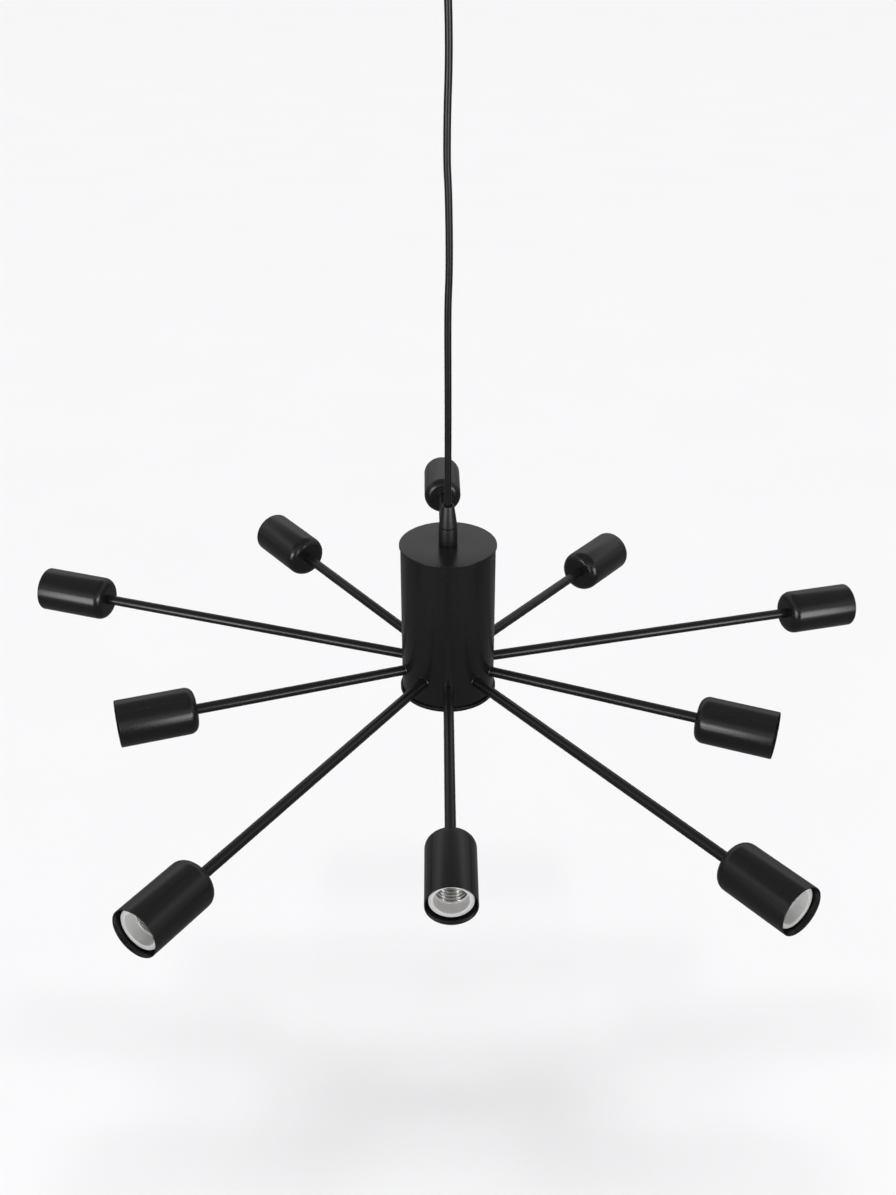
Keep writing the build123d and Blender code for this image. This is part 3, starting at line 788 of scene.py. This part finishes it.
def thread_tree():
    """A flat grid rolled into a sleeve whose wall follows a rounded screw thread."""
    lengths = dict.fromkeys(("Bore", "Length", "Pitch", "Depth", "Plain"), "Float")
    counts = dict.fromkeys(("Sides", "Rows"), "Int")
    tree, given = new_tree("rolled_thread", **lengths, **counts, Material="Material")
    size = {"Size X": 1.0, "Size Y": 1.0}
    rows = {"Vertices X": given["Sides"], "Vertices Y": given["Rows"]}
    grid = tree.node("GeometryNodeMeshGrid", values={**size, **rows})
    place = tree.node("GeometryNodeInputPosition")
    around = tree.node("ShaderNodeSeparateXYZ", values={"Vector": place}, output=0) + 0.5
    up = tree.node("ShaderNodeSeparateXYZ", values={"Vector": place}, output=1) + 0.5
    height = up * given["Length"]
    turns = (height / given["Pitch"] - around) * (2 * pi)
    wave = tree.maths("COSINE", turns)
    from_end = tree.maths("MINIMUM", height, given["Length"] - height)
    fade = tree.maths("MINIMUM", from_end / given["Plain"], 1.0)
    radius = given["Bore"] - given["Depth"] * fade * (0.5 - wave * 0.5)
    angle = around * (2 * pi)
    x = radius * tree.maths("COSINE", angle)
    y = radius * tree.maths("SINE", angle)
    spot = tree.node("ShaderNodeCombineXYZ", values={"X": x, "Y": y, "Z": height})
    sleeve = tree.node("GeometryNodeSetPosition", values={"Geometry": grid, "Position": spot})
    sewn = tree.node("GeometryNodeMergeByDistance", values={"Geometry": sleeve, "Distance": SEAM})
    end_tree(tree, sewn, given["Material"])
    return tree.tree


bright_shell = shell_finish()
SHELL_BORE = 0.0135
SHELL_WALL = 0.0004
SHELL_LENGTH = 0.023
SHELL_SIDES = 72
SHELL_ROWS = 57
SHELL_FOOT = 0.04
THREAD_PITCH = 0.00362
THREAD_DEPTH = 0.00095
THREAD_FADE = 0.0018
rolled = grown(
    "shell_sleeve",
    thread_tree(),
    bpy.data.meshes.new("start"),
    Bore=SHELL_BORE,
    Length=SHELL_LENGTH,
    Pitch=THREAD_PITCH,
    Depth=THREAD_DEPTH,
    Plain=THREAD_FADE,
    Sides=SHELL_SIDES + 1,
    Rows=SHELL_ROWS,
    Material=bright_shell,
)
FLANGE_HOLE = 0.0105
FLANGE_SHEET = 0.0005
FLANGE_EDGE = 0.0001
flange_profile = (
    (FLANGE_HOLE, -FLANGE_SHEET, FLANGE_EDGE),
    (SHELL_BORE + SHELL_WALL, -FLANGE_SHEET, FLANGE_EDGE),
    (SHELL_BORE + SHELL_WALL, 0, 0),
    (FLANGE_HOLE, 0, FLANGE_EDGE),
)


def add_walls(work):
    """The sleeve with its outer wall, and the turned-in flange at its foot."""
    work.from_mesh(rolled)
    rims = [edge for edge in work.edges if edge.is_boundary]
    inner = list(work.faces) + list(work.edges) + list(work.verts)
    outer = bmesh.ops.duplicate(work, geom=inner)
    twin = outer["vert_map"]
    for vertex in (item for item in outer["geom"] if isinstance(item, bmesh.types.BMVert)):
        vertex.co += Vector((vertex.co.x, vertex.co.y, 0)).normalized() * SHELL_WALL
    for edge in rims:
        start, end = edge.verts
        work.faces.new((start, end, twin[end], twin[start]))
    turn_outline(work, rounded(flange_profile, steps=2), SHELL_SIDES)


shells = on_arms("screw_shells", mesh_of("shell", add_walls), SHELL_FOOT, bright_shell, arms)
piece("screw_shells", shells, "hub", "shell_metal", bright_shell, "socket_shells")


# ---- Centre contacts ----------------------------------------------------------------------
# A sprung brass leaf in the bottom of each socket, riveted over its post, with a round pip
# on the axis that touches the lamp's own contact.
def brass_finish():
    material, shader, tree = finish("contact_brass", Metallic=1.0)
    cloud = tree.noise(400)
    connect(
        tree,
        shader,
        Base_Color=tree.tint(cloud + 0.5, (0.60, 0.42, 0.17), (0.78, 0.60, 0.30)),
        Roughness=0.28 + cloud * 0.2,
        Normal=tree.bump(tree.noise(2200), 0.00001),
    )
    return material


cover(brass_finish(), *numbered("centre_contact"))


# ---- Wiring -------------------------------------------------------------------------------
# Grey sleeved leads: one twin lead through each arm, and two cores from the cable's stripped
# end to the hub's block. In the rose two more cores run from the cable to its own block.
def sleeve_finish():
    material, shader, tree = finish("grey_sleeve", Specular_IOR_Level=0.45)
    cloud = tree.noise(150)
    connect(
        tree,
        shader,
        Base_Color=tree.tint(cloud + 0.5, (0.40, 0.40, 0.41), (0.52, 0.52, 0.53)),
        Roughness=0.4 + cloud * 0.15,
        Normal=tree.bump(cloud, 0.00002),
    )
    return material


grey_sleeve = sleeve_finish()
cover(grey_sleeve, "lamp_leads", "supply_leads")

# Inside the rose the two cores climb beside its nut and turn into the block's outer ways
CORE_RADIUS = 0.0009
CORE_SIDES = 16
CORE_CORNERS = (
    (0.0, 0.001, -0.0215),
    (0.0, 0.0012, -0.0165),
    (-0.0005, 0.0035, -0.0115),
    (0.001, 0.0093, -0.0085),
    (0.0065, 0.00933, -0.0095),
    (0.0142, 0.00933, -0.0095),
)


def smooth_path(corners, steps=8):
    """Points on a uniform quadratic spline through the middles of the corners' sides."""
    corners = [Vector(corner) for corner in corners]
    middles = [(a + b) / 2 for a, b in zip(corners[1:-2], corners[2:-1])]
    joins = [corners[0], *middles, corners[-1]]
    path = []
    for start, bend, end in zip(joins, corners[1:-1], joins[1:]):
        for step in range(steps):
            part = step / steps
            path.append(start.lerp(bend, part).lerp(bend.lerp(end, part), part))
    return path + [corners[-1]]


def add_core(work, mirror):
    """A round core along the path, carrying its upright side on from ring to ring."""
    path = smooth_path([(x, y * mirror, z) for x, y, z in CORE_CORNERS])
    upright = Vector((0, mirror, 0))
    rings = []
    for index, point in enumerate(path):
        along = (path[min(index + 1, len(path) - 1)] - path[max(index - 1, 0)]).normalized()
        across = along.cross(upright).normalized()
        upright = across.cross(along)
        ring = []
        for side in range(CORE_SIDES):
            angle = 2 * pi * side / CORE_SIDES
            spoke = cos(angle) * across + sin(angle) * upright
            ring.append(work.verts.new(point + CORE_RADIUS * spoke))
        rings.append(ring)
    sew(work, rings)
    work.faces.new(rings[0])
    work.faces.new(rings[-1])


def add_cores(work):
    add_core(work, 1)
    add_core(work, -1)


piece("rose_cores", mesh_of("rose_cores", add_cores), "ceiling", "lead_sleeve", grey_sleeve)


# ---- Studio -------------------------------------------------------------------------------
# A plain pale floor well below the light, a broad panel high overhead and a weak fill in
# front. What the black coat mirrors is set apart from what lights it: a banded sky, a dim
# floor, and a box at each side that shows in its sheen alone.
FLOOR_HEIGHT = -1.332
FLOOR_RADIUS = 40
FLOOR_GLOW = 0.125
DIM_FLOOR = (0.2, 0.2, 0.2, 1)
BACKGROUND = (0.934, 0.935, 0.951, 1)
AMBIENT = 0.45
MIRRORED_LEVEL = 0.95
# What the coat mirrors of the sky, by the sine of the height above the horizon
MIRRORED_SKY = ((0.0, 0.4), (0.3, 0.5), (0.42, 1.0), (0.56, 1.0), (0.68, 0.3), (1.0, 0.3))


def light_path(tree, kind):
    sockets = {"camera": 0, "glossy": 3, "transmission": 6}
    return tree.node("ShaderNodeLightPath", output=sockets[kind])


def either(tree, mask, off, on):
    return tree.node("ShaderNodeMixShader", values={0: mask, 1: off, 2: on})


def glowing(tree, color, strength, kind="Background"):
    return tree.node(f"ShaderNode{kind}", values={"Color": color, "Strength": strength})


def floor_finish():
    material = bpy.data.materials.new("pale_floor")
    material.use_nodes = True
    tree = Tree(material.node_tree)
    material.node_tree.nodes.clear()
    pale = tree.tint(tree.noise(3.0) + 0.5, (0.80, 0.80, 0.81), (0.82, 0.82, 0.83))
    matt = tree.node("ShaderNodeBsdfDiffuse", values={"Color": pale})
    glow = glowing(tree, BACKGROUND, FLOOR_GLOW, "Emission")
    lifted = tree.node("ShaderNodeAddShader", values={0: matt, 1: glow})
    dimmed = tree.node("ShaderNodeBsdfDiffuse", values={"Color": DIM_FLOOR})
    unseen = either(tree, light_path(tree, "glossy"), matt, dimmed)
    shown = either(tree, light_path(tree, "camera"), unseen, lifted)
    tree.node("ShaderNodeOutputMaterial", values={"Surface": shown})
    return material


def make_floor(work):
    bmesh.ops.create_circle(work, cap_ends=True, segments=96, radius=FLOOR_RADIUS)
    bmesh.ops.translate(work, verts=work.verts, vec=(0, 0, FLOOR_HEIGHT))


floor = bpy.data.objects.new("floor", mesh_of("floor", make_floor))
floor.data.materials.append(floor_finish())
bpy.context.scene.collection.objects.link(floor)


def soft_lamp(name, place, aim, size, power, mirrored=False):
    """A panel of light. A mirrored one shows only in sheens, where the others never show."""
    lamp = bpy.data.lights.new(name, "AREA")
    lamp.shape = "RECTANGLE"
    lamp.size, lamp.size_y = size
    lamp.energy = power
    made = bpy.data.objects.new(name, lamp)
    made.location = place
    made.visible_glossy = mirrored
    made.visible_diffuse = not mirrored
    made.rotation_euler = (Vector(aim) - Vector(place)).to_track_quat("-Z", "Y").to_euler()
    bpy.context.scene.collection.objects.link(made)


soft_lamp("sky_panel", place=(0, 0, 100), aim=(0, 0, 0), size=(57, 17), power=60000)
soft_lamp("front_fill", place=(0, -3.2, -0.6), aim=(0, 0, -0.6), size=(2.2, 0.5), power=20)
for side in (-1, 1):
    place = (side * 2.6, -3.2, -0.45)
    soft_lamp("side_box", place, aim=(0, 0, -0.65), size=(2.6, 1.9), power=150, mirrored=True)

world = bpy.data.worlds.new("studio")
world.use_nodes = True
sky = Tree(world.node_tree)
world.node_tree.nodes.clear()
ambient = glowing(sky, (1, 1, 1, 1), AMBIENT)
backdrop = glowing(sky, BACKGROUND, 1.0)
towards = sky.node("ShaderNodeTexCoord")
climb = sky.node("ShaderNodeSeparateXYZ", values={"Vector": towards}, output=2)
level = sky.node("ShaderNodeValToRGB", {"stops": MIRRORED_SKY}, {0: climb})
mirrored_sky = glowing(sky, level, MIRRORED_LEVEL)
seen = sky.maths("MAXIMUM", light_path(sky, "camera"), light_path(sky, "transmission"))
direct = either(sky, seen, ambient, backdrop)
shown = either(sky, light_path(sky, "glossy"), direct, mirrored_sky)
sky.node("ShaderNodeOutputWorld", values={"Surface": shown})
bpy.context.scene.world = world
bpy.context.scene.view_settings.view_transform = "Standard"
